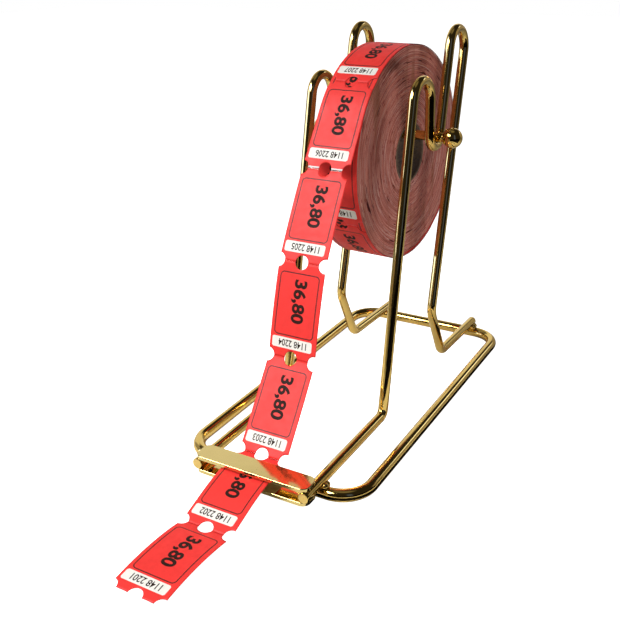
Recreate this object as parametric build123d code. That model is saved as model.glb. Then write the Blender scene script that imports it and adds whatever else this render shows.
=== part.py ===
from build123d import *
import math
import os

# Counter ticket roll stand, in millimetres, +Z up, -Y the front.
# Two bent wire side frames stand on a wire base loop and carry a loose rod with
# ball ends. A roll of tickets hangs on the rod by its cardboard core, and its
# strip runs down through a slot between two small plates onto the counter.
# While it is built, Y = 0 is the front rail of the base and Z = 0 the counter.

# base loop, sizes on the wire's centre line
base_wire = 7.0
base_width = 109.0
base_depth = 225.0
base_corner_radius = 17.5

# side frames, corner points of the wire's centre line
frame_wire = 6.0
frame_spacing = 66.4
weld_gap = 0.05
front_overhang = 18.5
front_leg_foot = 75.5
front_leg_reach = 40.0
front_hoop_height = 201.5
front_hoop_width = 23.5
cradle_height = 158.5
cradle_lead = 0.3
cradle_width = 14.5
rear_hoop_height = 226.5
rear_leg_lean = 16.9
rear_hoop_width = 26.3
knee_height = 48.0
knee_setback = 48.5
foot_bend_reach = 19.0
foot_rise = 2.0
rear_overhang = 5.0
leg_bend_radius = 5.0
knee_bend_radius = 14.0
foot_bend_radius = 9.0
hoop_fullness = 0.98
wire_end_radius = 0.8

# plates welded over and under the front wire ends
plate_length = 70.0
plate_depth = 13.0
plate_thickness = 2.0
plate_corner_radius = 4.5
plate_edge_radius = 0.4

# weld beads: a large and a small drop in the outer crook of each wire crossing
large_drop = 4.4
small_drop = 3.6
drop_spacing = 2.4
bead_outset = 3.2
bead_rise = 0.9

# rod and ball ends
rod_diameter = 6.0
rod_clearance = 0.1
ball_diameter = 12.5
ball_gap = 2.05
ball_fit = 0.05
rod_past_ball_centre = 2.0

# roll
ticket_width = 30.0
paper = 0.25
core_bore = 35.0
core_wall = 1.5
wind_gap = 0.1
roll_diameter = 135.0
roll_lean = 22.5
roll_skew = -3.2
roll_offset = 0.2
outer_turn_end_gap = 7.0
tail_clearance = 0.2
tail_end_gap = 0.5

# ticket strip
ticket_pitch = 54.5
strip_offset = -3.0
perforation_gap = 0.4
punch_diameter = 8.0
punch_offset = -1.3
slot_clearance = 0.25
slot_lead = 1.0
first_fold_run = 5.5
first_fold_angle = 4.0
ticket_3_kink = -9.5
ticket_4_kink = 13.2
ticket_5_kink = -1.3
ticket_3_bow = -0.5
ticket_4_bow = 0.9
ticket_5_bow = 0.5
front_fold_height = 2.0
front_crown = 1.4
front_crown_share = 0.35
tip_height = 3.2
tip_arch = 2.2

# derived heights and places
run_height = base_wire + weld_gap + frame_wire / 2
frame_x = frame_spacing / 2
tear_bar_z = run_height + frame_wire / 2 + weld_gap
guide_plate_z = run_height - frame_wire / 2 - weld_gap - plate_thickness
ball_x = frame_x + frame_wire / 2 + ball_gap + ball_diameter / 2


def bend_to_fill(width, turn_a, turn_b):
    """Radius with which two bends fill a hoop of this width."""
    reach = math.tan(math.radians(turn_a) / 2) + math.tan(math.radians(turn_b) / 2)
    return hoop_fullness * width / reach


def heading(a, b):
    """Direction from a to b in the side view, in degrees."""
    return math.degrees(math.atan2(b[1] - a[1], b[0] - a[0]))


def walk(point, distance, angle):
    """Point in the side view at this distance and heading."""
    turn = math.radians(angle)
    return (point[0] + distance * math.cos(turn), point[1] + distance * math.sin(turn))


def easy_bend(a, b, c, share):
    """Bend radius at b that takes up this share of the shorter side."""
    turn = abs((heading(b, c) - heading(a, b) + 180) % 360 - 180)
    return share * min(math.dist(a, b), math.dist(b, c)) / math.tan(math.radians(turn) / 2)


def in_side_view(points, x):
    """Side view points as points in space."""
    return [Vector(x, y, z) for y, z in points]


# side frame: corner points from the front end to the rear end
leg_bottom = (front_leg_foot, run_height)
front_hoop_a = (front_leg_foot + front_leg_reach, front_hoop_height)
front_hoop_b = (front_hoop_a[0] + front_hoop_width, front_hoop_height)
cradle_a = (front_hoop_b[0] + cradle_lead, cradle_height)
cradle_b = (cradle_a[0] + cradle_width, cradle_height)
rear_hoop_a = (cradle_b[0] + rear_leg_lean, rear_hoop_height)
rear_hoop_b = (rear_hoop_a[0] + rear_hoop_width, rear_hoop_height)
knee = (rear_hoop_b[0] - knee_setback, knee_height)
foot_bend = (knee[0] + foot_bend_reach, run_height + foot_rise)
foot_slope = foot_rise / (base_depth - foot_bend[0])
front_end = (-front_overhang, run_height)
rear_end = (base_depth + rear_overhang, run_height - foot_slope * rear_overhang)
frame_points = [
    front_end,
    leg_bottom,
    front_hoop_a,
    front_hoop_b,
    cradle_a,
    cradle_b,
    rear_hoop_a,
    rear_hoop_b,
    knee,
    foot_bend,
    rear_end,
]
front_hoop_radius = bend_to_fill(
    front_hoop_width,
    heading(leg_bottom, front_hoop_a),
    -heading(front_hoop_b, cradle_a),
)
cradle_turn_a = -heading(front_hoop_b, cradle_a)
cradle_turn_b = heading(cradle_b, rear_hoop_a)
cradle_radius = bend_to_fill(cradle_width, cradle_turn_a, cradle_turn_b)
rear_hoop_radius = bend_to_fill(
    rear_hoop_width,
    heading(cradle_b, rear_hoop_a),
    -heading(rear_hoop_b, knee),
)
frame_radii = [
    leg_bend_radius,
    front_hoop_radius,
    front_hoop_radius,
    cradle_radius,
    cradle_radius,
    rear_hoop_radius,
    rear_hoop_radius,
    knee_bend_radius,
    foot_bend_radius,
]


def bent_wire(path, diameter):
    """Round wire along a path of lines and tangent arcs."""
    section = Plane(origin=path @ 0, z_dir=path % 0) * Circle(diameter / 2)
    return sweep(section, path)


def side_frame(x, diameter):
    path = FilletPolyline(*in_side_view(frame_points, x), radius=frame_radii)
    wire = bent_wire(path, diameter)
    return fillet(wire.faces().sort_by(Axis.Y)[-1].edges(), wire_end_radius)


left_frame = side_frame(-frame_x, frame_wire)
right_frame = side_frame(frame_x, frame_wire)

# base loop: half of it is swept and mirrored, so that the wire closes on itself
half_width = base_width / 2
half_loop = FilletPolyline(
    Vector(0, 0, base_wire / 2),
    Vector(half_width, 0, base_wire / 2),
    Vector(half_width, base_depth, base_wire / 2),
    Vector(0, base_depth, base_wire / 2),
    radius=[base_corner_radius, base_corner_radius],
)
base_half = bent_wire(half_loop, base_wire)
base_loop = base_half + mirror(base_half, about=Plane.YZ)

# plates: the tear bar lies on the wire ends, the guide plate under them
plate_y = -front_overhang + plate_depth / 2


def slot_plate(z):
    plate = Pos(0, plate_y, z + plate_thickness / 2) * Box(plate_length, plate_depth, plate_thickness)
    plate = fillet(plate.edges().filter_by(Axis.Z), plate_corner_radius)
    return fillet(plate.faces().sort_by(Axis.Z)[-1].edges(), plate_edge_radius)


tear_bar = slot_plate(tear_bar_z)
guide_plate = slot_plate(guide_plate_z)

# weld beads: what is left of the drops once both wires are taken out of them
grown_half = bent_wire(half_loop, base_wire + 2 * weld_gap)
grown_loop = {1: grown_half, -1: mirror(grown_half, about=Plane.YZ)}
grown_frame = {side: side_frame(side * frame_x, frame_wire + 2 * weld_gap) for side in (1, -1)}


def weld_bead(side, y):
    x = side * (frame_x + bead_outset)
    z = base_wire + bead_rise
    bead = Pos(x, y - drop_spacing / 2, z) * Sphere(large_drop / 2)
    bead = bead + Pos(x, y + drop_spacing / 2, z) * Sphere(small_drop / 2)
    return bead - grown_loop[side] - grown_frame[side]


# rod and ball ends: the rod lies in the bottom of both cradles
rod_y = (
    cradle_a[0]
    + cradle_b[0]
    + cradle_radius * math.tan(math.radians(cradle_turn_a) / 2)
    - cradle_radius * math.tan(math.radians(cradle_turn_b) / 2)
) / 2
rod_z = cradle_height + frame_wire / 2 + rod_clearance + rod_diameter / 2
rod_end = ball_x + rod_past_ball_centre
rod = Pos(0, rod_y, rod_z) * Rot(0, 90, 0) * Cylinder(rod_diameter / 2, 2 * rod_end)
rod = chamfer(rod.edges().filter_by(GeomType.CIRCLE), 0.5)


right_knob = Pos(ball_x, rod_y, rod_z) * Rot(0, 90, 0) * Sphere(ball_diameter / 2)
knob_bore = Rot(0, 90, 0) * Cylinder(rod_diameter / 2 + ball_fit, ball_diameter)
right_knob = right_knob - Pos(rod_end + ball_fit - ball_diameter / 2, rod_y, rod_z) * knob_bore
left_knob = mirror(right_knob, about=Plane.YZ)


# roll: it hangs on the rod by the top of its bore, leaning back and turned a
# little on its hook, so the bore clears the rod over the whole width
skew_shift = ticket_width / 2 * math.tan(math.radians(-roll_skew))
hang = core_bore / 2 - rod_diameter / 2 - rod_clearance
lean_y = math.sin(math.radians(roll_lean))
drop = math.sqrt(hang**2 - skew_shift**2 * (1 - lean_y**2)) - skew_shift * lean_y
roll_y = rod_y + drop * lean_y
roll_z = rod_z - drop * math.cos(math.radians(roll_lean))
roll_place = Pos(roll_offset, roll_y, roll_z) * Rot(0, 0, roll_skew)
roll_radius = roll_diameter / 2
core_radius = core_bore / 2 + core_wall


def ring(outer, inner, width):
    """Tube along X at the roll's centre."""
    return Rot(0, 90, 0) * (Cylinder(outer, width) - Cylinder(inner, width))


roll_core = roll_place * ring(core_radius, core_bore / 2, ticket_width)
pack_radius = roll_radius - 2 * (paper + wind_gap)
ticket_roll = roll_place * ring(pack_radius, core_radius + wind_gap, ticket_width)

# strip: corner points from the slot up to the roll, one ticket apart
slot_top = tear_bar_z - slot_clearance - paper / 2
slot_point = (-front_overhang + plate_depth + slot_lead, slot_top)
fold_4 = walk(slot_point, first_fold_run, first_fold_angle)
leave_radius = roll_radius + tail_clearance + paper / 2
to_roll = math.hypot(roll_y - fold_4[0], roll_z - fold_4[1])
climb = heading(fold_4, (roll_y, roll_z)) + math.degrees(math.asin(leave_radius / to_roll))
fold_3 = walk(fold_4, ticket_pitch, climb + ticket_3_kink)
fold_2 = walk(fold_3, ticket_pitch, climb + ticket_4_kink)
fold_1 = walk(fold_2, ticket_pitch, climb + ticket_5_kink)

# the strip leaves the roll where the line from the last fold touches it
tail_span = math.hypot(roll_y - fold_1[0], roll_z - fold_1[1])
tail_angle = heading(fold_1, (roll_y, roll_z)) + math.degrees(math.asin(leave_radius / tail_span))
tail_length = math.sqrt(tail_span**2 - leave_radius**2)
leave_angle = tail_angle + 90

# outer turn: one turn of paper in half turns, each drawn in a little
turn_step = paper + wind_gap
turn_radius = roll_radius - paper / 2
turn_sweep = 360 - math.degrees(outer_turn_end_gap / roll_radius)


turn_shift = walk((0, 0), turn_step / 2, leave_angle - 180)
first_half = CenterArc((0, 0), turn_radius, leave_angle, -180)
second_half = CenterArc(turn_shift, turn_radius - turn_step / 2, leave_angle - 180, 180 - turn_sweep)
turn_path = Plane.YZ * Wire(first_half.edges() + second_half.edges())
turn_start = Plane(origin=turn_path @ 0, x_dir=(1, 0, 0), z_dir=turn_path % 0)
outer_turn = sweep(turn_start * Rectangle(ticket_width, paper), turn_path)


def sheet(points, radii):
    """Strip of paper along a side view path, at the strip's own width."""
    space_points = in_side_view(points, strip_offset)
    if radii:
        path = FilletPolyline(*space_points, radius=radii)
    else:
        path = Line(space_points[0], space_points[1])
    section = Plane(origin=path @ 0, x_dir=(1, 0, 0), z_dir=path % 0) * Rectangle(ticket_width, paper)
    return sweep(section, path)


def bowed(start, end, bow):
    """Path from start to end with a crown to one side, and its bend radius."""
    length = math.dist(start, end)
    angle = heading(start, end)
    crown = walk(walk(start, length / 2, angle), 2 * bow, angle + 90)
    return [start, crown, end], [easy_bend(start, crown, end, 0.98)]


def trimmed(points):
    """Both ends drawn back from the perforation by half its gap."""
    first = walk(points[0], perforation_gap / 2, heading(points[0], points[1]))
    last = walk(points[-1], perforation_gap / 2, heading(points[-1], points[-2]))
    return [first] + points[1:-1] + [last]


def square_to(point, x, angle):
    """Plane at a side view point, looking along a heading."""
    turn = math.radians(angle)
    ahead = (0, math.cos(turn), math.sin(turn))
    return Plane(origin=(x, point[0], point[1]), x_dir=(1, 0, 0), z_dir=ahead)


def punched(paper_piece, fold, angle, middle=strip_offset):
    """Centre hole and both edge notches, cut square to the paper at a fold."""
    for step in (-0.5, 0, 0.5):
        x = middle + punch_offset + step * ticket_width
        tool = square_to(fold, x, angle + 90) * Cylinder(punch_diameter / 2, punch_diameter)
        paper_piece = paper_piece - tool
    return paper_piece


def ticket(points, radii):
    body = sheet(trimmed(points), radii)
    body = punched(body, points[0], heading(points[0], points[1]))
    return punched(body, points[-1], heading(points[-2], points[-1]))


ticket_5 = ticket(*bowed(fold_2, fold_1, ticket_5_bow))
ticket_4 = ticket(*bowed(fold_3, fold_2, ticket_4_bow))
ticket_3 = ticket(*bowed(fold_4, fold_3, ticket_3_bow))

# ticket in the slot: through the slot, then down to the counter
slot_run = ticket_pitch - first_fold_run
slot_fall = math.degrees(math.asin((slot_point[1] - front_fold_height) / slot_run))
front_fold = walk(slot_point, slot_run, 180 + slot_fall)
crown_foot = walk(slot_point, front_crown_share * slot_run, 180 + slot_fall)
slot_crown = walk(crown_foot, 2 * front_crown, 90 + slot_fall)
ticket_2 = ticket(
    [fold_4, slot_point, slot_crown, front_fold],
    [easy_bend(fold_4, slot_point, slot_crown, 0.3), easy_bend(slot_point, slot_crown, front_fold, 0.85)],
)

# first ticket, arched over the counter
tip_fall = math.degrees(math.asin((front_fold_height - tip_height) / ticket_pitch))
tip = walk(front_fold, ticket_pitch, 180 + tip_fall)
ticket_1 = ticket(*bowed(front_fold, tip, -tip_arch))

# the outer turn is punched at every perforation from the sixth ticket back
for count in range(int((turn_radius * math.radians(turn_sweep) + tail_length) / ticket_pitch)):
    along = (count + 1) * ticket_pitch - tail_length
    place = leave_angle - math.degrees(along / turn_radius)
    outer_turn = punched(outer_turn, walk((0, 0), turn_radius, place), place - 90, 0)
outer_turn = roll_place * outer_turn

# tail of the sixth ticket: it comes off the skewed roll and meets the strip
leave_point = walk(walk((0, 0), leave_radius, leave_angle), tail_end_gap, tail_angle + 180)
tail_top = roll_place * (square_to(leave_point, 0, tail_angle) * Rectangle(ticket_width, paper))
tail_foot = walk(fold_1, perforation_gap / 2, tail_angle)
tail_foot = square_to(tail_foot, strip_offset, tail_angle) * Rectangle(ticket_width, paper)
ticket_6_tail = punched(loft([tail_foot, tail_top], ruled=True), fold_1, tail_angle)

nodes = {
    "base_loop": base_loop,
    "left_side_frame": left_frame,
    "right_side_frame": right_frame,
    "tear_bar": tear_bar,
    "guide_plate": guide_plate,
    "front_left_weld": weld_bead(-1, 0),
    "front_right_weld": weld_bead(1, 0),
    "rear_left_weld": weld_bead(-1, base_depth),
    "rear_right_weld": weld_bead(1, base_depth),
    "axle_rod": rod,
    "left_ball_knob": left_knob,
    "right_ball_knob": right_knob,
    "roll_core": roll_core,
    "ticket_roll": ticket_roll,
    "outer_turn": outer_turn,
    "ticket_6_tail": ticket_6_tail,
    "ticket_5": ticket_5,
    "ticket_4": ticket_4,
    "ticket_3": ticket_3,
    "ticket_2": ticket_2,
    "ticket_1": ticket_1,
}

# the origin is the middle of the footprint, on the counter
box = Compound(children=[Compound(shape.solids()) for shape in nodes.values()]).bounding_box()
to_origin = Pos(-(box.min.X + box.max.X) / 2, -(box.min.Y + box.max.Y) / 2, -box.min.Z)

os.makedirs("parts", exist_ok=True)
for name, shape in nodes.items():
    solids = (to_origin * shape).solids()
    export_step(solids[0] if len(solids) == 1 else Compound(solids), f"parts/{name}.step")

# places that the joints need, before the shift to the origin
places = {
    "shift to the origin": (0, to_origin.position.Y, to_origin.position.Z),
    "rod": (0, rod_y, rod_z),
    "roll centre": (roll_offset, roll_y, roll_z),
    "front fold": (strip_offset, front_fold[0], front_fold[1]),
    "last fold": (strip_offset, fold_1[0], fold_1[1]),
}
for place_name, place in places.items():
    print(place_name, [round(value, 3) for value in place])

# least gap between the two ends of the outer turn, on points
turn_ends = [(roll_place * turn_path).position_at(share) for share in (0, 1)]
print("least gap of the outer turn to itself", round((turn_ends[0] - turn_ends[1]).length, 2))
print("length of the tail", round(tail_length, 2))
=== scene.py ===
import math
import bmesh
import bpy
import numpy as np
from mathutils import Matrix, Vector


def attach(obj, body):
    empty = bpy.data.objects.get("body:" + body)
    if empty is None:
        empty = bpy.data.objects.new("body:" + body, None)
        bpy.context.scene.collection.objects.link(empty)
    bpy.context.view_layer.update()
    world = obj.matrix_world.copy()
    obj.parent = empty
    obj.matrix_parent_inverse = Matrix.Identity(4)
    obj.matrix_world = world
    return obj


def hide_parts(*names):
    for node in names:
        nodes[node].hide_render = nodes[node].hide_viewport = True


# Counter ticket roll stand. Sizes are in millimetres with Y = 0 at the front rail of the base, as in the CAD part;
# inFrame() brings them to metres in the shared frame.
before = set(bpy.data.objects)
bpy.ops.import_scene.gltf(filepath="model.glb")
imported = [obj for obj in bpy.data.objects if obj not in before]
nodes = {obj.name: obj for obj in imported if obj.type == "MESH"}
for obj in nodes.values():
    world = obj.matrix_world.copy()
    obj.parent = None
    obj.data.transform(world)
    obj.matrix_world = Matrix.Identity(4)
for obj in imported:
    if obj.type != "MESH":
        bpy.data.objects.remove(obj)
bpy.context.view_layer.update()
frontRail = -61.73  # place of the front rail on Y in the shared frame, mm
samePoint = 1e-6  # path points closer than this are one, mm
weldReach = 1e-7  # mesh points closer than this are one, m
uvScale = 100.0  # a sheet's UV map holds millimetres divided by this


# Points in mm from the front rail become metres in the shared frame: (x, y + place of the rail, z) / 1000.
def inFrame(points):
    return (np.asarray(points, float) + np.array([0.0, frontRail, 0.0])) / 1000.0


# Each corner is replaced by the arc that touches both of its sides; straight runs are cut every step mm, arcs every
# arcStep degrees.
def roundedPath(corners, radii, step, arcStep):
    corners = [np.asarray(c, float) for c in corners]
    out = [corners[0][None]]
    for before, here, after, radius in zip(corners, corners[1:], corners[2:], radii):
        a, b = before - here, after - here
        a, b = a / np.linalg.norm(a), b / np.linalg.norm(b)
        half = math.acos(np.clip(a @ b, -1, 1)) / 2
        turn = math.pi - 2 * half
        middle = here + (a + b) / np.linalg.norm(a + b) * radius / math.sin(half)
        start = here + a * radius / math.tan(half) - middle
        across, along = start / radius, -a
        angles = np.linspace(0, turn, max(3, int(math.degrees(turn) / arcStep) + 2))[:, None]
        out.append(middle + radius * (across * np.cos(angles) + along * np.sin(angles)))
    out.append(corners[-1][None])
    points = np.concatenate(out)
    keep = np.r_[True, np.linalg.norm(np.diff(points, axis=0), axis=1) > samePoint]
    points = points[keep]
    lengths = np.linalg.norm(np.diff(points, axis=0), axis=1)
    counts = np.maximum(1, np.ceil(lengths / step).astype(int))
    shares = np.concatenate([i + np.arange(n) / n for i, n in enumerate(counts)] + [[len(points) - 1.0]])
    index = np.arange(len(points))
    return np.stack([np.interp(shares, index, points[:, k]) for k in range(points.shape[1])], axis=1)


# Running length along a path.
def arcLength(points):
    return np.r_[0.0, np.cumsum(np.linalg.norm(np.diff(points, axis=0), axis=1))]


# Vectors divided by their lengths.
def unit(vectors):
    return vectors / np.linalg.norm(vectors, axis=-1, keepdims=True)


# Tangent from the neighbours on both sides, and the direction square to it and to the fixed binormal.
def pathFrames(points, binormal, closed):
    if closed:
        tangent = np.roll(points, -1, axis=0) - np.roll(points, 1, axis=0)
    else:
        tangent = np.gradient(points, axis=0)
    tangent = unit(tangent)
    return tangent, unit(np.cross(tangent, binormal))


# New object at the origin, linked to the scene.
def newItem(name, data):
    item = bpy.data.objects.new(name, data)
    bpy.context.scene.collection.objects.link(item)
    return item


# One smooth mesh object. uvs holds one pair for each vertex.
def makeObject(name, verts, faces, materials, faceMaterials=None, uvs=None):
    mesh = bpy.data.meshes.new(name)
    mesh.from_pydata(np.asarray(verts).tolist(), [], [list(map(int, f)) for f in faces])
    for material in materials:
        mesh.materials.append(material)
    if faceMaterials is not None:
        mesh.polygons.foreach_set("material_index", np.asarray(faceMaterials, np.int32))
    if uvs is not None:
        layer = mesh.uv_layers.new(name="sheetPlace")
        corner = np.empty(len(mesh.loops), np.int32)
        mesh.loops.foreach_get("vertex_index", corner)
        layer.data.foreach_set("uv", np.asarray(uvs, np.float32)[corner].ravel())
    mesh.polygons.foreach_set("use_smooth", np.full(len(mesh.polygons), True))
    mesh.update()
    return newItem(name, mesh)


# Quads of a rows by columns grid, numbered row by row.
def gridFaces(rows, columns, wrapRows=False, wrapColumns=False, offset=0):
    i, j = np.indices((rows - (not wrapRows), columns - (not wrapColumns))).reshape(2, -1)
    here, below, after = i * columns, (i + 1) % rows * columns, (j + 1) % columns
    return np.stack([here + j, below + j, below + after, here + after], axis=1) + offset


# Normals recalculated so that every face of a closed shell points outwards; weld first joins points that coincide.
def outward(item, weld=False):
    work = bmesh.new()
    work.from_mesh(item.data)
    if weld:
        bmesh.ops.remove_doubles(work, verts=work.verts, dist=weldReach)
    bmesh.ops.recalc_face_normals(work, faces=work.faces)
    work.to_mesh(item.data)
    work.free()


# Profile of pairs (along the axis, radius) carried round the axis: centre + along * axis + radius * (cos, sin)
# square to it.
def turned(name, profile, centre, axis, material, around):
    along, radius = np.array(profile, float).T[..., None, None]
    axis = np.asarray(axis, float) / np.linalg.norm(axis)
    first = np.cross(axis, [0.0, 0.0, 1.0])
    first /= np.linalg.norm(first)
    second = np.cross(axis, first)
    angle = np.linspace(0, 2 * math.pi, around, endpoint=False)
    ring = np.cos(angle)[:, None] * first + np.sin(angle)[:, None] * second
    verts = centre + along * axis + radius * ring
    faces = gridFaces(len(profile), around, wrapColumns=True)
    item = makeObject(name, inFrame(verts.reshape(-1, 3)), faces, [material])
    outward(item, weld=True)
    return item


# Node group that gives a colour, a roughness and a normal; inputs as label, kind and, where it has one, default.
def newGroup(name, inputs):
    group = bpy.data.node_groups.new(name, "ShaderNodeTree")
    for label, kind, *value in inputs:
        socket = group.interface.new_socket(name=label, in_out="INPUT", socket_type="NodeSocket" + kind)
        if value:
            socket.default_value = value[0]
    for label, kind in (("Colour", "Color"), ("Roughness", "Float"), ("Normal", "Vector")):
        group.interface.new_socket(name=label, in_out="OUTPUT", socket_type="NodeSocket" + kind)
    return group, group.nodes.new("NodeGroupInput").outputs, group.nodes.new("NodeGroupOutput")


# Short ways to add nodes to one node tree.
class Graph:
    def __init__(self, tree):
        self.tree = tree

    def add(self, kind, inputs=None, **settings):
        node = self.tree.nodes.new("ShaderNode" + kind)
        for key, value in settings.items():
            setattr(node, key, value)
        return self.fill(node, inputs or {})

    def fill(self, node, inputs):
        for key, value in inputs.items():
            if isinstance(value, bpy.types.NodeSocket):
                self.tree.links.new(value, node.inputs[key])
            else:
                node.inputs[key].default_value = value
        return node

    def math(self, operation, *values, clamp=False):
        return self.add("Math", dict(enumerate(values)), operation=operation, use_clamp=clamp).outputs[0]

    def plus(self, a, b):
        return self.math("ADD", a, b)

    def minus(self, a, b):
        return self.math("SUBTRACT", a, b)

    def times(self, a, b):
        return self.math("MULTIPLY", a, b)

    def vector(self, operation, *values, output="Vector"):
        return self.add("VectorMath", dict(enumerate(values)), operation=operation).outputs[output]

    def mix(self, share, a, b, blend="MIX"):
        return self.add("Mix", {0: share, 6: a, 7: b}, data_type="RGBA", blend_type=blend).outputs[2]

    def ramp(self, value, low, high, outLow=0.0, outHigh=1.0):
        inputs = {0: value, 1: low, 2: high, 3: outLow, 4: outHigh}
        return self.add("MapRange", inputs, interpolation_type="SMOOTHSTEP").outputs[0]

    def noise(self, vector, scale, detail=3.0, roughness=0.5):
        inputs = {"Vector": vector, "Scale": scale, "Detail": detail, "Roughness": roughness}
        return self.add("TexNoise", inputs).outputs["Fac"]

    def bump(self, height, strength, distance):
        inputs = {"Strength": strength, "Distance": distance, "Height": height}
        return self.add("Bump", inputs).outputs[0]

    def place(self):
        return self.add("TexCoord").outputs["Object"]


plated = {
    "broadScale": 38.0, "rippleScale": 210.0, "fineScale": 1500.0, "speckScale": 420.0,
    "speckSize": (0.05, 0.18), "speckPatches": (0.5, 0.62), "speckTone": (0.25, 0.16, 0.07, 1),
    "filmPatches": (0.42, 0.66), "lightTone": (0.87, 0.60, 0.17, 1), "deepTone": (0.62, 0.37, 0.09, 1),
    "fineRough": 0.05, "speckRough": 0.3, "filmRough": 0.08, "fineHeight": 0.02, "speckDepth": 0.2,
    "bump": (0.35, 0.0002),  # strength, and distance in metres
}


# Group for plated brass: soft ripples from the drawn wire and buffing, dull specks, and a brown film in patches.
def platedSurface():
    p = plated
    group, source, sink = newGroup("platedSurface", [
        ("Place", "Vector"), ("Ripple", "Float"), ("Dullness", "Float"), ("Light Tone", "Color", p["lightTone"]),
        ("Deep Tone", "Color", p["deepTone"]), ("Film", "Float"), ("Specks", "Float")])
    g = Graph(group)
    place = source["Place"]
    broad = g.noise(place, p["broadScale"], 3.0)
    ripple = g.noise(place, p["rippleScale"], 2.0)
    fine = g.noise(place, p["fineScale"], 2.0)
    cells = g.add("TexVoronoi", {"Vector": place, "Scale": p["speckScale"], "Randomness": 1.0})
    speck = g.ramp(cells.outputs["Distance"], *p["speckSize"], 1.0, 0.0)
    speck = g.times(g.times(speck, g.ramp(broad, *p["speckPatches"])), source["Specks"])
    film = g.times(g.ramp(broad, *p["filmPatches"]), source["Film"])
    colour = g.mix(film, source["Light Tone"], source["Deep Tone"])
    colour = g.mix(speck, colour, p["speckTone"])
    rough = g.plus(source["Dullness"], g.times(fine, p["fineRough"]))
    rough = g.plus(rough, g.times(speck, p["speckRough"]))
    rough = g.math("ADD", rough, g.times(film, p["filmRough"]), clamp=True)
    height = g.plus(g.times(ripple, source["Ripple"]), g.times(fine, p["fineHeight"]))
    height = g.minus(height, g.times(speck, p["speckDepth"]))
    g.fill(sink, {"Colour": colour, "Roughness": rough, "Normal": g.bump(height, *p["bump"])})
    return group


paper = {
    "cloudScale": 240.0, "fibreScale": 2600.0, "patchScale": 45.0, "clouds": (0.35, 0.7), "patches": (0.45, 0.75),
    "patchShare": 0.6, "grub": (0.55, 0.5, 0.5, 1), "roughness": (0.3, 0.7, 0.42, 0.52),
    "bump": (0.3, 0.00004),  # strength, and distance in metres
}


# Group for paper: fibre mottle, a fine tooth and slight grubby patches.
def paperFibre():
    p = paper
    group, source, sink = newGroup("paperFibre", [("Place", "Vector"), ("Colour", "Color"), ("Mottle", "Float")])
    g = Graph(group)
    cloud = g.noise(source["Place"], p["cloudScale"], 5.0, 0.6)
    fibre = g.noise(source["Place"], p["fibreScale"], 3.0, 0.6)
    patch = g.noise(source["Place"], p["patchScale"], 2.0)
    dim = g.times(g.ramp(cloud, *p["clouds"]), source["Mottle"])
    dim = g.plus(dim, g.times(g.ramp(patch, *p["patches"]), g.times(source["Mottle"], p["patchShare"])))
    darker = g.mix(1.0, source["Colour"], p["grub"], blend="MULTIPLY")
    colour = g.mix(dim, source["Colour"], darker)
    height = g.plus(g.times(fibre, 0.6), g.times(cloud, 0.4))
    rough = g.ramp(cloud, *p["roughness"])
    g.fill(sink, {"Colour": colour, "Roughness": rough, "Normal": g.bump(height, *p["bump"])})
    return group


platedGroup = platedSurface()
fibreGroup = paperFibre()


def newMaterial(name):
    material = bpy.data.materials.new(name)
    material.use_nodes = True
    material.node_tree.nodes.clear()
    g = Graph(material.node_tree)
    shader = g.add("BsdfPrincipled")
    g.add("OutputMaterial", {0: shader.outputs[0]})
    return material, g, shader


# Colour, roughness and normal of a group node, named as the shader's inputs.
def surfaceOf(group):
    return dict(zip(("Base Color", "Roughness", "Normal"), group.outputs))


def brassMaterial(name, looks):
    material, g, shader = newMaterial(name)
    group = g.add("Group", {"Place": g.place(), **looks}, node_tree=platedGroup)
    g.fill(shader, {**surfaceOf(group), "Metallic": 1.0})
    return material


brassLooks = {
    "wireBrass": {"Ripple": 0.35, "Dullness": 0.05, "Film": 0.35, "Specks": 0.4},
    "plateBrass": {"Ripple": 0.15, "Dullness": 0.05, "Film": 0.15, "Specks": 0.25,
                   "Light Tone": (0.84, 0.65, 0.25, 1), "Deep Tone": (0.72, 0.53, 0.20, 1)},
    "cutBrass": {"Ripple": 0.9, "Dullness": 0.38, "Film": 0.1, "Specks": 0.5, "Light Tone": (0.95, 0.67, 0.21, 1)},
    "ballBrass": {"Ripple": 0.12, "Dullness": 0.04, "Film": 0.2, "Specks": 0.3},
    "weldBrass": {"Ripple": 1.0, "Dullness": 0.16, "Film": 0.8, "Specks": 1.0},
}
wireBrass, plateBrass, cutBrass, ballBrass, weldBrass = (brassMaterial(*looks) for looks in brassLooks.items())

ticketPrint = {
    "width": 30.0, "pitch": 54.5, "paper": 0.18,
    # left, right, top and foot of the frame line and of the number panel
    "frame": (2.4, 27.0, 6.3, 41.7), "frameCorner": 2.2, "frameLine": 0.58,
    "box": (1.5, 27.0, 43.1, 49.3), "boxCorner": 0.8, "edge": 0.05,
    "wearScale": 900.0, "wear": (0.25, 0.5, 0.88, 1.0), "rag": 0.5, "torn": (0.28, 0.5),
    "red": (0.90, 0.045, 0.038, 1), "boxWhite": (0.89, 0.87, 0.80, 1), "ink": (0.035, 0.018, 0.014, 1),
    # the darker cut red goes on the wound turns' edges: painted shade
    "back": (0.80, 0.73, 0.70, 1), "cutRed": (0.52, 0.05, 0.042, 1), "cutRedShaded": (0.17, 0.014, 0.012, 1),
    "tornWhite": (0.92, 0.86, 0.84, 1), "mottle": 0.14, "shine": 0.2,
}
halfWidth = ticketPrint["width"] / 2


# Paper of a constant or computed colour on object coordinates.
def feedPaper(g, shader, colour, mottle, shine):
    inputs = {"Place": g.place(), "Colour": colour, "Mottle": mottle}
    g.fill(shader, {**surfaceOf(g.add("Group", inputs, node_tree=fibreGroup)), "Specular IOR Level": shine})


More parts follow.
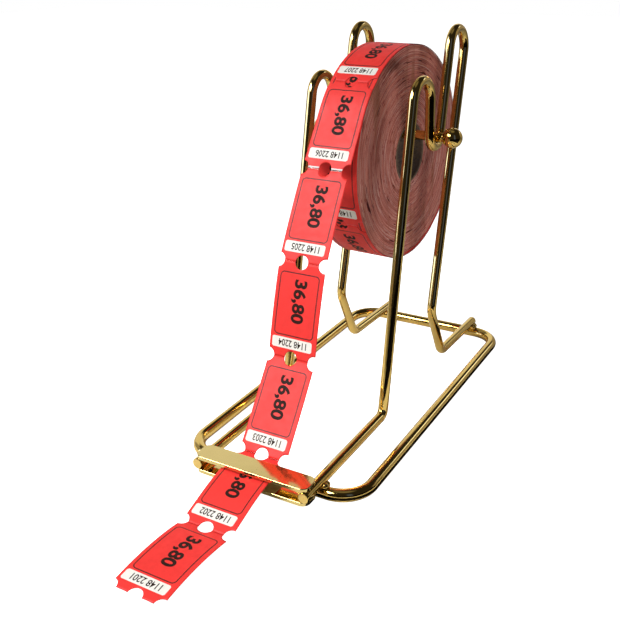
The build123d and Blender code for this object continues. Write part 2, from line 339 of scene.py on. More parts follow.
# Red stock with a thin rounded frame line and a pale number panel with cut corners, from the place across and along
# the ticket in millimetres. Where the strip is torn at a perforation, the white stock shows along that edge.
def printedMaterial(name, tornTop=False, tornFoot=False):
    p = ticketPrint
    material, g, shader = newMaterial(name)
    uv = g.add("UVMap", uv_map="sheetPlace").outputs[0]
    split = g.add("SeparateXYZ", {0: uv})
    u, v = g.times(split.outputs[0], uvScale), g.times(split.outputs[1], uvScale)

    # Signed distance to a rectangle with round corners: length of what is outside the inner box, plus the part inside.
    def fromRectangle(left, right, top, foot, corner):
        du, dv = (g.minus(g.math("ABSOLUTE", g.minus(at, (low + high) / 2)), (high - low) / 2 - corner)
                  for at, low, high in ((u, left, right), (v, top, foot)))
        outU, outV = g.math("MAXIMUM", du, 0.0), g.math("MAXIMUM", dv, 0.0)
        outside = g.math("SQRT", g.plus(g.times(outU, outU), g.times(outV, outV)))
        inside = g.math("MINIMUM", g.math("MAXIMUM", du, dv), 0.0)
        return g.minus(g.plus(outside, inside), corner), du, dv

    line, _, _ = fromRectangle(*p["frame"], p["frameCorner"])
    half = p["frameLine"] / 2
    lineMask = g.ramp(g.math("ABSOLUTE", line), half - p["edge"], half + p["edge"], 1.0, 0.0)
    panel, du, dv = fromRectangle(*p["box"], 0.0)
    cut = g.times(g.plus(g.plus(du, dv), p["boxCorner"]), 0.7071)  # distance to the slanting line across the corner
    panelMask = g.ramp(g.math("MAXIMUM", panel, cut), -p["edge"], p["edge"], 1.0, 0.0)
    wear = g.noise(g.place(), p["wearScale"], 3.0)
    lineMask = g.times(lineMask, g.ramp(wear, *p["wear"]))
    colour = g.mix(panelMask, p["red"], p["boxWhite"])
    colour = g.mix(lineMask, colour, p["ink"])
    for torn, edge in ((tornTop, v), (tornFoot, g.minus(p["pitch"], v))):
        if torn:
            ragged = g.plus(edge, g.times(g.minus(wear, 0.5), p["rag"]))
            colour = g.mix(g.ramp(ragged, *p["torn"], 1.0, 0.0), colour, p["tornWhite"])
    feedPaper(g, shader, colour, p["mottle"], p["shine"])
    return material


def plainPaper(name, colour, mottle=0.3, shine=0.3):
    material, g, shader = newMaterial(name)
    feedPaper(g, shader, ticketPrint[colour], mottle, shine)
    return material


ticketRed = printedMaterial("ticketRed")
ticketRedTornTop = printedMaterial("ticketRedTornTop", tornTop=True)
ticketRedTornFoot = printedMaterial("ticketRedTornFoot", tornFoot=True)
ticketBack = plainPaper("ticketBack", "back")
ticketInk = plainPaper("ticketInk", "ink", 0.5, 0.04)
stripCut = plainPaper("stripCut", "cutRed", 0.5)
# Cut edges of the wound turns, darker than the strip's: painted shade.
rollCutShaded = plainPaper("rollCutShaded", "cutRedShaded", 0.6)

wireWork = {
    "railWire": 7.0, "frameWire": 6.0, "baseWidth": 109.0, "baseDepth": 225.0, "baseCorner": 17.5, "frameX": 33.2,
    "corners": [(-18.5, 10.05), (75.5, 10.05), (115.5, 201.5), (139.0, 201.5), (139.3, 158.5), (153.8, 158.5),
                (170.7, 226.5), (197.0, 226.5), (148.5, 48.0), (167.5, 12.05), (230.0, 9.876)],
    "radii": [5.0, 12.754, 12.754, 8.006, 8.006, 12.333, 12.333, 14.0, 9.0],
    "around": 32, "step": 3.0, "arcStep": 3.0, "endRound": 0.4, "endAngles": (90, 50, 10), "sharpFrom": 40,
}


# Ring of radius r in the plane of the binormal and the side direction at each path point. At an open end the rings
# shrink as r - e + e cos t while they move out by e sin t, and the last ring closes on a point in the middle.
def sweptWire(name, path, binormal, diameter, closed=False):
    w = wireWork
    around, e = w["around"], w["endRound"]
    points, binormal = np.asarray(path, float), np.asarray(binormal, float)
    tangent, side = pathFrames(points, binormal, closed)
    radius = np.full(len(points), diameter / 2)
    if not closed:
        t = np.radians(w["endAngles"])
        move, shrunk = e * (1 - np.sin(t)), radius[0] - e + e * np.cos(t)
        head = points[0] + tangent[0] * move[:, None]
        tail = points[-1] - tangent[-1] * move[::-1, None]
        points = np.concatenate([head, points[1:-1], tail])
        side = np.concatenate([np.repeat(side[:1], len(t), 0), side[1:-1], np.repeat(side[-1:], len(t), 0)])
        radius = np.concatenate([shrunk, radius[1:-1], shrunk[::-1]])
    angle = np.linspace(0, 2 * math.pi, around, endpoint=False)
    ring = np.cos(angle)[None, :, None] * binormal + np.sin(angle)[None, :, None] * side[:, None, :]
    verts = (points[:, None, :] + radius[:, None, None] * ring).reshape(-1, 3)
    faces = gridFaces(len(points), around, wrapRows=closed, wrapColumns=True).tolist()
    slots = np.zeros(len(faces))
    if not closed:
        count = len(verts)
        verts = np.concatenate([verts, points[:1], points[-1:]])
        j = np.arange(around)
        nextJ = (j + 1) % around
        faces += np.stack([np.full(around, count), j, nextJ], axis=1).tolist()
        j, nextJ = j + count - around, nextJ + count - around
        faces += np.stack([np.full(around, count + 1), nextJ, j], axis=1).tolist()
        slots = np.concatenate([slots, np.ones(2 * around)])
    item = makeObject(name, inFrame(verts), faces, [wireBrass] if closed else [wireBrass, cutBrass], slots)
    outward(item)
    item.data.set_sharp_from_angle(angle=math.radians(w["sharpFrom"]))
    return item


def buildWireWork():
    w = wireWork
    half, z = w["baseWidth"] / 2, w["railWire"] / 2
    loop = [(0, 0, z), (half, 0, z), (half, w["baseDepth"], z), (-half, w["baseDepth"], z), (-half, 0, z), (0, 0, z)]
    path = roundedPath(loop, [w["baseCorner"]] * 4, w["step"], w["arcStep"])[:-1]
    base = sweptWire("baseLoopWire", path, (0, 0, 1), w["railWire"], closed=True)
    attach(base, "stand")
    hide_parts("base_loop")
    side = roundedPath(w["corners"], w["radii"], w["step"], w["arcStep"])
    for name, x, node in (("leftSideWire", -w["frameX"], "left_side_frame"),
                          ("rightSideWire", w["frameX"], "right_side_frame")):
        item = sweptWire(name, np.column_stack([np.full(len(side), x), side]), (1, 0, 0), w["frameWire"])
        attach(item, "stand")
        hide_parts(node)


buildWireWork()
print("wire work made")

axle = {
    "y": 147.395, "z": 164.6, "rod": 6.0, "rodEnd": 46.5, "ballX": 44.5, "ball": 12.5, "around": 48, "ballAround": 64,
    "end": [(0.0, 0.6), (0.15, 0.25), (0.6, 0.0)],  # rounding of the rod's ends: how far in, and below the surface
    "collar": [(4.0, 0.05), (0.3, 0.05), (-0.05, 0.2)],  # bore of the ball: how far in, and above the rod
    "mouth": 0.35,  # the ball's surface starts this far above the rod
}


# The rod's profile is straight with eased ends. A ball's profile is (-R cos t, R sin t) from its mouth to the pole,
# and starts inside, along the rod.
def buildAxle():
    a = axle
    middle = np.array([0, a["y"], a["z"]])
    r, e = a["rod"] / 2, a["rodEnd"]
    profile = [(-e, 0)] + [(-e + inward, r - below) for inward, below in a["end"]]
    profile += [(x, r) for x in np.linspace(-e + 3, e - 3, 40)]
    profile += [(e - inward, r - below) for inward, below in a["end"][::-1]] + [(e, 0)]
    rod = turned("axleRodBar", profile, middle, (1, 0, 0), wireBrass, a["around"])
    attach(rod, "axle")
    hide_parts("axle_rod")
    ballR = a["ball"] / 2
    t = np.linspace(math.asin((r + a["mouth"]) / ballR), math.pi, 48)
    along, radius = -ballR * np.cos(t), ballR * np.sin(t)
    profile = [(along[0] + inward, r + above) for inward, above in a["collar"]] + list(zip(along, radius))
    profile[-1] = (ballR, 0.0)
    for name, side, node in (("leftBall", -1, "left_ball_knob"), ("rightBall", 1, "right_ball_knob")):
        ball = turned(name, [(side * x, q) for x, q in profile], middle + np.array([side * a["ballX"], 0, 0]),
                      (1, 0, 0), ballBrass, a["ballAround"])
        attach(ball, "axle")
        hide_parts(node)


buildAxle()
print("axle made")

for material, nodeNames in ((plateBrass, ("tear_bar", "guide_plate")),
                            (weldBrass, ("front_left_weld", "front_right_weld", "rear_left_weld", "rear_right_weld"))):
    for nodeName in nodeNames:
        nodes[nodeName].data.materials.clear()
        nodes[nodeName].data.materials.append(material)

punch = {"radius": 4.0, "centres": (-0.5, 14.45, 29.4), "columnsOnArc": 18, "columnsBetween": 7}


# Places across the ticket: evenly turned round each punch, evenly spaced between punches.
def punchColumns():
    radius, width = punch["radius"], ticketPrint["width"]
    parts = []
    edge = 0.0
    for centre in punch["centres"]:
        low, high = max(0.0, centre - radius), min(width, centre + radius)
        if low > edge:
            parts.append(np.linspace(edge, low, punch["columnsBetween"], endpoint=False))
        a0, a1 = (math.acos(np.clip((at - centre) / radius, -1, 1)) for at in (low, high))
        count = max(8, int(punch["columnsOnArc"] * abs(a0 - a1) / math.pi))
        parts.append(centre + radius * np.cos(np.linspace(a0, a1, count, endpoint=False)))
        edge = high
    parts.append([width])
    return np.unique(np.round(np.concatenate(parts), 5))


# How far a punch reaches along the ticket at u: the height of the half circle over that place.
def bite(u):
    deep = np.zeros_like(u)
    for centre in punch["centres"]:
        deep = np.maximum(deep, np.sqrt(np.maximum(0.0, punch["radius"] ** 2 - (u - centre) ** 2)))
    return deep


# Side view line of the paper: gives the place at any running length, and the normal on the printed side.
class SheetLine:
    def __init__(self, points):
        self.points = np.asarray(points, float)
        self.length = arcLength(self.points)
        tangent = unit(np.gradient(self.points, axis=0))
        self.normal = np.stack([tangent[:, 1], -tangent[:, 0]], axis=1)

    def at(self, v):
        place, normal = (np.stack([np.interp(v, self.length, values[:, k]) for k in (0, 1)], axis=-1)
                         for values in (self.points, self.normal))
        return place, unit(normal)


# Glyph outlines as a flat mesh, in mm, centred on its own box and cut into small fields, so that it can follow a bow.
def flatText(words, height, bold, narrow, field=1.2):
    curve = bpy.data.curves.new("glyphs", "FONT")
    curve.body = words
    curve.size = 1.0
    curve.offset = bold
    curve.resolution_u = 6
    item = newItem("glyphs", curve)
    bpy.context.view_layer.update()
    mesh = bpy.data.meshes.new_from_object(item.evaluated_get(bpy.context.evaluated_depsgraph_get()))
    work = bmesh.new()
    work.from_mesh(mesh)
    bmesh.ops.triangulate(work, faces=work.faces)
    verts = np.array([v.co[:2] for v in work.verts])
    scale = height / (verts[:, 1].max() - verts[:, 1].min())
    low, high = verts.min(0) * scale, verts.max(0) * scale
    for v in work.verts:
        v.co.x *= scale * narrow
        v.co.y *= scale
        v.co.x -= (low[0] + high[0]) / 2 * narrow
        v.co.y -= (low[1] + high[1]) / 2
    span = (high - low) * np.array([narrow, 1.0])
    for k, axis in enumerate(((1, 0, 0), (0, 1, 0))):
        for cut in np.arange(-span[k] / 2 + field, span[k] / 2, field):
            parts = work.verts[:] + work.edges[:] + work.faces[:]
            bmesh.ops.bisect_plane(work, geom=parts, plane_co=Vector(axis) * cut, plane_no=axis)
    bmesh.ops.triangulate(work, faces=work.faces)
    work.verts.ensure_lookup_table()
    verts = np.array([v.co[:2] for v in work.verts])
    faces = np.array([[v.index for v in f.verts] for f in work.faces])
    work.free()
    bpy.data.objects.remove(item)
    return verts, faces


# words, height, boldness, width against height, and the middle's place across and along the ticket
prints = {"price": ("36,80", 9.4, 0.034, 1.08, (15.4, 22.0)),
          "serial": ("1148 22{:02d}", 3.9, 0.014, 0.82, (14.6, 46.2))}


# Both prints of one ticket as (u, v) points and faces. The large number reads down the ticket, the serial stands on
# its head.
def ticketWords(number):
    *price, priceMiddle = prints["price"]
    words, *serial, serialMiddle = prints["serial"]
    big, bigFaces = flatText(*price)
    small, smallFaces = flatText(words.format(number), *serial)
    places = [priceMiddle + big[:, ::-1], serialMiddle + small * (-1, 1)]
    return np.concatenate(places), np.concatenate([bigFaces, smallFaces + len(big)])


sheet = {"rows": 46, "printLift": 0.02}


# Closed sheet: columns across, each cut along from one punch edge to the other, on the line; the back is the same
# grid moved in by the paper, and a rim joins both. Print lies a little above the face. zero is where the ticket
# begins on the line.
def sheetObject(name, line, start, stop, placeAt, number, bites=(True, True), zero=0.0, rows=sheet["rows"],
                face=ticketRed, cut=stripCut):
    thick = ticketPrint["paper"]
    u = punchColumns()
    low, high = start + bites[0] * bite(u), stop - bites[1] * bite(u)
    v = low[:, None] + (high - low)[:, None] * np.linspace(0, 1, rows)
    uGrid = np.repeat(u[:, None], rows, axis=1)
    front = placeAt(line, uGrid, v, thick / 2)
    back = placeAt(line, uGrid, v, -thick / 2)
    faces = gridFaces(*v.shape)
    backFaces = faces[:, ::-1] + v.size
    index = np.arange(v.size).reshape(v.shape)
    rim = np.concatenate([index[0, :-1], index[:-1, -1], index[-1, :0:-1], index[:0:-1, 0]])
    after = np.roll(rim, -1)
    rimFaces = np.stack([rim, after, after + v.size, rim + v.size], axis=1)
    place, wordFaces = ticketWords(number)
    wordsAlong = place[wordFaces][:, :, 1] + zero
    wordFaces = wordFaces[((wordsAlong > start) & (wordsAlong < stop)).all(axis=1)]
    ink = placeAt(line, place[:, 0], place[:, 1] + zero, thick / 2 + sheet["printLift"])
    verts = np.concatenate([front.reshape(-1, 3), back.reshape(-1, 3), ink])
    uvs = np.column_stack([np.tile(uGrid.ravel(), 2), np.tile((v - zero).ravel(), 2)])
    slots = np.repeat([0, 1, 3, 2], [len(faces), len(backFaces), len(rimFaces), len(wordFaces)])
    allFaces = np.concatenate([faces, backFaces, rimFaces]).tolist() + (wordFaces + 2 * v.size).tolist()
    materials = [face, ticketBack, ticketInk, cut]
    return makeObject(name, inFrame(verts), allFaces, materials, slots, np.concatenate([uvs, place]) / uvScale)


strip = {
    "offset": -3.0, "step": 0.5, "arcStep": 0.3,
    # (y, z) of the folds from the roll to the counter end
    "folds": [(75.624, 156.117), (48.666, 108.751), (34.425, 56.145), (0.987, 13.109), (-52.312, 2.0), (-106.799, 3.2)],
    # by ticket number: corners of its line between its folds, their bend radii, and the gaps at its head and foot
    "tickets": {
        5: ([(61.276, 132.929)], [728.2], (0.22, 0.01)),
        4: ([(39.808, 82.918)], [405.17], (0.01, 0.01)),
        3: ([(18.496, 34.013)], [728.2], (0.01, 0.01)),
        2: ([(-4.5, 12.725), (-21.847, 11.703)], [300.36, 117.77], (0.01, 0.02)),
        1: ([(-79.458, 6.999)], [167.53], (0.02, 0.2)),
    },
    # how far the strip strays in x at these places on y
    "driftY": [-106.8, -52.3, 1.0, 34.4, 48.7, 75.6, 106.0], "driftX": [1.4, 0.4, -0.4, -0.9, -0.8, -0.4, 0.0],
}


# x from the place across, y and z from the side line at running length v, lifted along its normal, with the strip's
# slow drift in x.
def onStrip(line, u, v, lift):
    place, normal = line.at(v)
    at = place + normal * lift
    drift = np.interp(place[..., 0], strip["driftY"], strip["driftX"])
    return np.stack([strip["offset"] - halfWidth + u + drift, at[..., 0], at[..., 1]], axis=-1)


# The same, with the paper under the line instead of round it: the upper faces of two sheets that fold up meet at
# the hinge.
def underStrip(line, u, v, lift):
    return onStrip(line, u, v, lift - ticketPrint["paper"] / 2)


def buildStrip():
    s = strip
    for number, (between, radii, (head, foot)) in s["tickets"].items():
        name = f"ticket{number}Sheet"
        corners = [s["folds"][5 - number], *between, s["folds"][6 - number]]
        line = SheetLine(roundedPath(corners, radii, s["step"], s["arcStep"]))
        item = sheetObject(name, line, head, line.length[-1] - foot, underStrip if number < 3 else onStrip, number,
                           face=ticketRedTornTop if number == 5 else ticketRed)
        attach(item, "first_ticket" if number == 1 else "stand")
        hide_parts(f"ticket_{number}")
        print(name, "made, length", round(line.length[-1], 2))


buildStrip()

roll = {
    "centre": (0.2, 152.775, 151.612), "skew": -3.2, "width": 30.0, "core": 19.0, "coreBore": 17.5, "packRadius": 66.7,
    # outer turns: radius at the paper's middle, how far they go round, fall for each turn, turn between points
    "turnRadius": 67.375, "sweep": 714.0, "fall": 0.35, "arcStep": 0.8,
    # tickets wound on: length, gap at both ends, rows of the mesh, shortest piece laid, number of the first
    "pitch": 55.3, "gap": 0.03, "rows": 36, "shortest": 3, "number": 7,
    # sixth ticket: where it leaves the roll, its straight length and slope, rows, gaps at its head and foot
    "leave": 148.016, "leaveRadius": 67.56, "tail": 37.045, "tailAngle": 58.016, "tailRows": 56,
    "tailGaps": (0.04, 0.22),
    # layers of the pack: mesh, then how far their edges wander, jump and wave, and how far in and out they may stand
    "layers": 130, "around": 240, "seed": 7, "coreGap": 0.1, "wander": 0.02, "jump": 0.05, "waves": 6, "wave": 0.022,
    "inset": 0.15, "limit": 0.1, "rimEase": 0.3,
}


# Roll coordinates (x across, y and z in its side view) turned by the roll's skew about Z and moved to its centre.
def onRollFrame(local):
    a = math.radians(roll["skew"])
    x, y, z = local[..., 0], local[..., 1], local[..., 2]
    c = roll["centre"]
    return np.stack([c[0] + x * math.cos(a) - y * math.sin(a), c[1] + x * math.sin(a) + y * math.cos(a), c[2] + z],
                    axis=-1)


edges = {
    # noise on the rings: rings in a metre of radius, changes round the roll, shift, detail, roughness
    "rings": {"fine": (2300.0, 1.2, 0.0, 4.0, 0.75), "middle": (420.0, 0.7, 40.0, 2.0, 0.6),
              "light": (2400.0, 1.3, 90.0, 2.0, 0.6), "dark": (800.0, 3.6, 160.0, 1.0, 0.5),
              "nick": (1500.0, 8.0, 230.0, 1.0, 0.5)},
    # the noise stretched upright paints soft brown upright bands: painted shadow of the wire frames
    "broadScale": 30.0, "bandShadowScale": 120.0, "bandShadowStretch": (1.0, 1.0, 0.12),
    "fineRange": (0.36, 0.64), "low": (0.17, 0.042, 0.032, 1), "high": (0.50, 0.185, 0.14, 1),
    # coats over that: which noise, from and to, share, colour
    "coats": [("middle", 0.35, 0.65, 0.18, (0.38, 0.10, 0.077, 1)), ("light", 0.55, 0.66, 0.55, (0.66, 0.42, 0.38, 1)),
              ("broad", 0.42, 0.66, 0.2, (0.17, 0.055, 0.045, 1)), ("bandShadow", 0.54, 0.70, 0.65, (0.19, 0.070, 0.036, 1)),
              ("nick", 0.64, 0.70, 0.85, (0.13, 0.010, 0.009, 1)), ("dark", 0.69, 0.73, 1.0, (0.050, 0.003, 0.003, 1))],
    # rim of the outermost turns, their red edges darkened as painted shade:
    #     # direction from the axis, how near to it, radius in metres, colour
    "rimWay": (0, 0.545, -0.839), "rimNear": (0.70, 0.84), "rimRadius": (0.0648, 0.0653),
    "rim": (0.36, 0.018, 0.014, 1),
    "roughness": (0.2, 0.8, 0.85, 0.65), "bump": (0.7, 0.0002), "shine": 0.2,
}


# Cut edges of the wound paper. Object coordinates are brought to the roll's own axis, then to radius and direction,
# # so that fine rings, short light and dark dashes and slow bands follow the layers with no seam. Low at the back the
# # outermost turns show as a dark red rim: their red edges with painted shade, set by the direction from the axis.
def edgeMaterial():
    e = edges
    material, g, shader = newMaterial("rollEdges")
    place = g.place()
    centre, turn = inFrame(roll["centre"]).tolist(), (0, 0, math.radians(roll["skew"]))
    own = g.add("Mapping", {"Vector": place, "Location": centre, "Rotation": turn}, vector_type="TEXTURE").outputs[0]
    split = g.add("SeparateXYZ", {0: own})
    flat = g.add("CombineXYZ", {1: split.outputs[1], 2: split.outputs[2]}).outputs[0]
    radius = g.vector("LENGTH", flat, output="Value")
    way = g.vector("NORMALIZE", flat)
    noises = {"broad": g.noise(place, e["broadScale"], 2.0)}
    for name, (perMetre, turns, shift, detail, roughness) in e["rings"].items():
        along = g.add("CombineXYZ", {0: g.math("MULTIPLY_ADD", radius, perMetre, shift)}).outputs[0]
        ring = g.vector("ADD", g.vector("MULTIPLY", way, (0, turns, turns)), along)
        noises[name] = g.noise(ring, 1.0, detail, roughness)
    # Soft brown upright bands on the side from a noise stretched along z: painted shadow of the wire frames.
    stretched = g.add("Mapping", {"Vector": own, "Scale": e["bandShadowStretch"]}).outputs[0]
    noises["bandShadow"] = g.noise(stretched, e["bandShadowScale"], 2.0)
    colour = g.mix(g.ramp(noises["fine"], *e["fineRange"]), e["low"], e["high"])
    for name, low, high, share, tone in e["coats"]:
        colour = g.mix(g.times(g.ramp(noises[name], low, high), share), colour, tone)
    # Dark red rim where the outer turns face down and back: painted shade on their red edges.
    near = g.vector("DOT_PRODUCT", way, e["rimWay"], output="Value")
    rim = g.times(g.ramp(near, *e["rimNear"]), g.ramp(radius, *e["rimRadius"]))
    height = g.plus(g.times(noises["fine"], 0.6), g.times(noises["middle"], 0.4))
    g.fill(shader, {"Base Color": g.mix(rim, colour, e["rim"]), "Normal": g.bump(height, *e["bump"]),
                    "Roughness": g.ramp(noises["fine"], *e["roughness"]), "Specular IOR Level": e["shine"]})
    return material


rollEdges = edgeMaterial()


# Profile round the pack: bore, rim, outside, rim, with each layer's edge standing in or out by a slow random step
# that also changes round the roll. Every profile point is carried round the roll's axis.
def buildPack():
    r = roll
    generator = np.random.default_rng(r["seed"])
    radii = np.linspace(r["core"] + r["coreGap"], r["packRadius"], r["layers"])[:, None]
    angle = np.linspace(0, 2 * math.pi, r["around"], endpoint=False)
    step = np.cumsum(generator.normal(0, r["wander"], r["layers"]))
    step -= np.linspace(step[0], step[-1], r["layers"])
    jag = generator.normal(0, r["jump"], r["layers"])
    phase = generator.uniform(0, 2 * math.pi, (r["layers"], r["waves"]))
    wave = sum(np.cos((k + 1) * angle[None, :] + phase[:, k:k + 1]) for k in range(r["waves"])) * r["wave"]
    out = (step + jag)[:, None] + wave
    half, limit = r["width"] / 2 - r["inset"], r["width"] / 2 + r["limit"]
    y, z = radii * np.cos(angle), radii * np.sin(angle)
    right, left = (np.stack([side * np.minimum(half + edge, limit), y, z], axis=-1)
                   for side, edge in ((1, out), (-1, out[:, ::-1])))
    shell = np.concatenate([right, left[::-1]])
    faces = gridFaces(len(shell), r["around"], wrapRows=True, wrapColumns=True)
    item = makeObject("woundPack", inFrame(onRollFrame(shell).reshape(-1, 3)), faces, [rollEdges])
    outward(item)
    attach(item, "roll")
    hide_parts("ticket_roll")


buildPack()
print("pack made")


# Side view line that winds up to the end angle while its radius grows evenly by the fall for each turn.
def spiralLine(endAngle, sweep, radius, fall):
    angle = np.radians(endAngle - np.linspace(sweep, 0, int(sweep / roll["arcStep"])))
    r = radius - fall * np.linspace(sweep / 360, 0, len(angle))
    return SheetLine(np.column_stack([r * np.cos(angle), r * np.sin(angle)]))


# As onStrip, in the roll's own coordinates, then turned and moved with the roll.
def onRoll(line, u, v, lift):
    place, normal = line.at(v)
    at = place + normal * lift
    return onRollFrame(np.stack([u - halfWidth, at[..., 0], at[..., 1]], axis=-1))


# The two outer turns are laid ticket by ticket, back from the perforation above the tail; the inner one shows
# through the punched holes. The wound tickets lie a little further apart than the hanging ones.
def buildOuterTurn():
    r = roll
    line = spiralLine(r["leave"], r["sweep"], r["turnRadius"], r["fall"])
    zero = line.length[-1] - (r["pitch"] - r["tail"]) - r["pitch"]
    number = r["number"]
    items = []
    while zero + r["pitch"] > r["shortest"]:
        start, stop = max(0.0, zero) + r["gap"], zero + r["pitch"] - r["gap"]
        items.append(sheetObject(f"rollTicket{number}", line, start, stop, onRoll, number, (zero >= 0, True), zero,
                                 r["rows"], cut=rollCutShaded))
        zero -= r["pitch"]
        number += 1
    bpy.ops.object.select_all(action="DESELECT")
    for item in items:
        item.select_set(True)
    bpy.context.view_layer.objects.active = items[0]
    bpy.ops.object.join()
    wrap = items[0]
    wrap.name = "outerTurnSheet"
    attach(wrap, "roll")
    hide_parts("outer_turn")


buildOuterTurn()
print("outer turn made")


# From its perforation the sixth ticket follows the roll by an arc, then runs straight down to the last fold. The arc
# lies along the skewed roll, the lower end along the strip's width, with an even turn between.
def buildTail():
    r = roll
    a, turn, skew = (math.radians(r[key]) for key in ("leave", "tailAngle", "skew"))
    top = onRollFrame(np.array([0.0, r["leaveRadius"] * math.cos(a), r["leaveRadius"] * math.sin(a)]))
    foot = np.array([strip["offset"] + strip["driftX"][5], *strip["folds"][0]])
    along = np.array([0.0, math.cos(turn), math.sin(turn)])
    acrossTop, acrossFoot = np.array([math.cos(skew), math.sin(skew), 0.0]), np.array([1.0, 0.0, 0.0])
    length = float(np.linalg.norm(top - foot))
    onArc = r["pitch"] - length
    line = SheetLine(np.column_stack([np.linspace(0, r["pitch"], 40), np.zeros(40)]))

    def onTail(line, u, v, lift):
        t = np.clip((v - onArc) / length, 0, 1)[..., None]
        across = acrossTop + (acrossFoot - acrossTop) * t
        normal = unit(np.cross(across, along))
        straight = top + (foot - top) * t + across * (u - halfWidth)[..., None] + normal * lift
        angle = a - np.maximum(0, onArc - v) / r["leaveRadius"]
        radius = r["leaveRadius"] + lift
        wound = onRollFrame(np.stack([u - halfWidth, radius * np.cos(angle), radius * np.sin(angle)], axis=-1))
        return np.where((v < onArc)[..., None], wound, straight)

    head, end = r["tailGaps"]
    item = sheetObject("ticket6Tail", line, head, r["pitch"] - end, onTail, 6, rows=r["tailRows"],
                       face=ticketRedTornFoot)
    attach(item, "axle")
    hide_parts("ticket_6_tail")


buildTail()
print("tail made")

card = {
    "fibre": (500.0, 5.0, 0.7), "fibreRange": (0.3, 0.7), "roughness": (0.75, 0.9), "bump": (0.5, 0.0001),
    "low": (0.085, 0.055, 0.036, 1), "high": (0.17, 0.115, 0.075, 1),
    "stainScale": 60.0, "stainRange": (0.4, 0.7), "stainShare": 0.5, "stain": (0.05, 0.035, 0.03, 1),
}


# Grey brown card: fibres, with darker stains in slow patches.
def cardMaterial():
    c = card
    material, g, shader = newMaterial("coreCard")
    place = g.place()
    fibre = g.noise(place, *c["fibre"])
    broad = g.noise(place, c["stainScale"], 2.0)
    colour = g.mix(g.ramp(fibre, *c["fibreRange"]), c["low"], c["high"])
    colour = g.mix(g.times(g.ramp(broad, *c["stainRange"]), c["stainShare"]), colour, c["stain"])
    g.fill(shader, {"Base Color": colour, "Roughness": g.ramp(fibre, *c["fibreRange"], *c["roughness"]),
                    "Normal": g.bump(fibre, *c["bump"])})
    return material


coreCard = cardMaterial()


# Tube with eased rims: the profile goes from the left rim over the outside to the right rim and back through the bore.
def buildCore():
    r = roll
    half, inner, outer, e = r["width"] / 2, r["coreBore"], r["core"], r["rimEase"]
    profile = [(-half + e, inner), (-half, inner + e), (-half, outer - e), (-half + e, outer), (half - e, outer),
               (half, outer - e), (half, inner + e), (half - e, inner)]
    profile += [(x, inner) for x in np.linspace(half - e - 1, -half + e, 20)]
    a = math.radians(r["skew"])
    item = turned("coreTube", profile, np.array(r["centre"]), (math.cos(a), math.sin(a), 0), coreCard, 96)
    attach(item, "roll")
    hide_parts("roll_core")


buildCore()
print("core made")

camera = {
    "azimuth": 30.044, "elevation": 17.186, "roll": -1.042, "distance": 504.880, "aimY": 80.0, "aimZ": 128.643,
    "slide": -13.236, "focalPx": 875.271, "centreX": 312.112, "centreY": 215.151, "frame": 620.0, "sensor": 36.0,
}


# The photograph's view: the camera stands off from the aim by azimuth, elevation and distance, rolled by a little,
# and the lens is shifted because the picture's centre isn't on its axis.
def buildCamera():
    c = camera
    az, el, ro = (math.radians(c[k]) for k in ("azimuth", "elevation", "roll"))
    toCamera = np.array([math.sin(az) * math.cos(el), -math.cos(az) * math.cos(el), math.sin(el)])
    right0 = np.array([math.cos(az), math.sin(az), 0.0])
    aim = np.array([0.0, c["aimY"], c["aimZ"]]) + right0 * c["slide"]
    place = inFrame(aim + toCamera * c["distance"])
    up0 = np.cross(right0, -toCamera)
    right = right0 * math.cos(ro) + up0 * math.sin(ro)
    up = -right0 * math.sin(ro) + up0 * math.cos(ro)
    data = bpy.data.cameras.new("studioCamera")
    item = newItem("studioCamera", data)
    basis = np.eye(4)
    basis[:3] = np.column_stack([right, up, toCamera, place])
    item.matrix_world = Matrix(basis.tolist())
    data.sensor_width = c["sensor"]
    data.lens = c["focalPx"] / c["frame"] * c["sensor"]
    data.shift_x = (c["frame"] / 2 - c["centreX"]) / c["frame"]
    data.shift_y = (c["centreY"] - c["frame"] / 2) / c["frame"]
    data.clip_start, data.clip_end = 0.02, 20.0
    bpy.context.scene.camera = item


buildCamera()


studio = {
    # what metal sees of the room: azimuth from and to, elevation from and to, softness of the edge in degrees, colour
    "boxes": [
        (-152, -84, 42, 64, 8, (0.26, 0.24, 0.20)),  # ceiling on the left
        (-152, -78, -25, 34, 6, (0.34, 0.34, 0.36)),  # room on the left
        (-74, -36, -6, 45, 4, (2.0, 2.5, 4.8)),  # window on the left
        (124, 186, -6, 27, 8, (0.31, 0.29, 0.27)),  # beside the backdrop
        (146, 161, 21, 26, 2, (1.9, 2.2, 3.2)),  # strip light behind on the right
        (186, 254, -25, 36, 8, (0.80, 0.80, 0.80)),  # backdrop behind the stand
        (40, 57, -6, 45, 4, (0.07, 0.11, 0.34)),  # dim window in front, on the right
    ],
    "dark": (0.022, 0.020, 0.018, 1), "zenith": (0.20, 0.19, 0.16, 1), "zenithFrom": (0.93, 0.99),
    "soft": (0.3, 0.95, 0.22, 0.12),  # light on paper: height of the direction from and to, level there
    # name, place, point aimed at, size in metres, power, spread in degrees, seen in reflections
    "lights": [("keyLight", (-0.30, -0.46, 0.60), (0, -0.06, 0.03), (0.60, 0.30), 1.42, 70, True),
               ("fillLight", (0.40, 0.02, 0.04), (0.02, 0.09, 0.14), (0.3, 0.06), 0.9, 180, False)],
}


